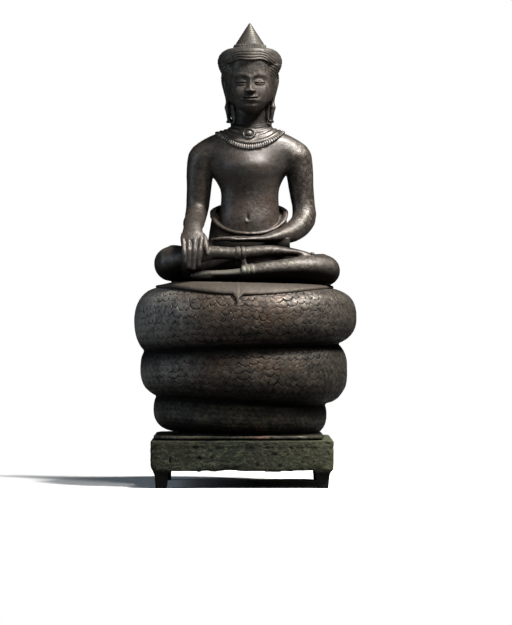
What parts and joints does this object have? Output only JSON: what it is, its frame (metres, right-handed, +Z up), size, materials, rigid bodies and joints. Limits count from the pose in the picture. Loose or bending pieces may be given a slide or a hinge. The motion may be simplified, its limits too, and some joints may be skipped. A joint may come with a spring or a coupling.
{
  "type": "naga buddha",
  "caption": "Cast bronze figure seated cross-legged, one hand over the shin, on a coiled serpent above a low slab plinth with short feet.",
  "frame": {"origin": "centre of the bounding box on the plane that the plinth's feet stand on", "axes": "+Z up, the figure faces -Y, its own left hand is towards +X"},
  "size_m": [0.2668, 0.2332, 0.5563],
  "materials": {
    "plinth": "rough green-brown corroded bronze",
    "naga_coils": "dark brown patinated bronze, worn smooth on the crests",
    "seated_figure": "dark grey-brown patinated bronze with a soft sheen"
  },
  "bodies": {
    "root": {"plinth": "plinth", "naga_coils": "naga_coils", "seated_figure": "seated_figure"}
  },
  "joints": []
}
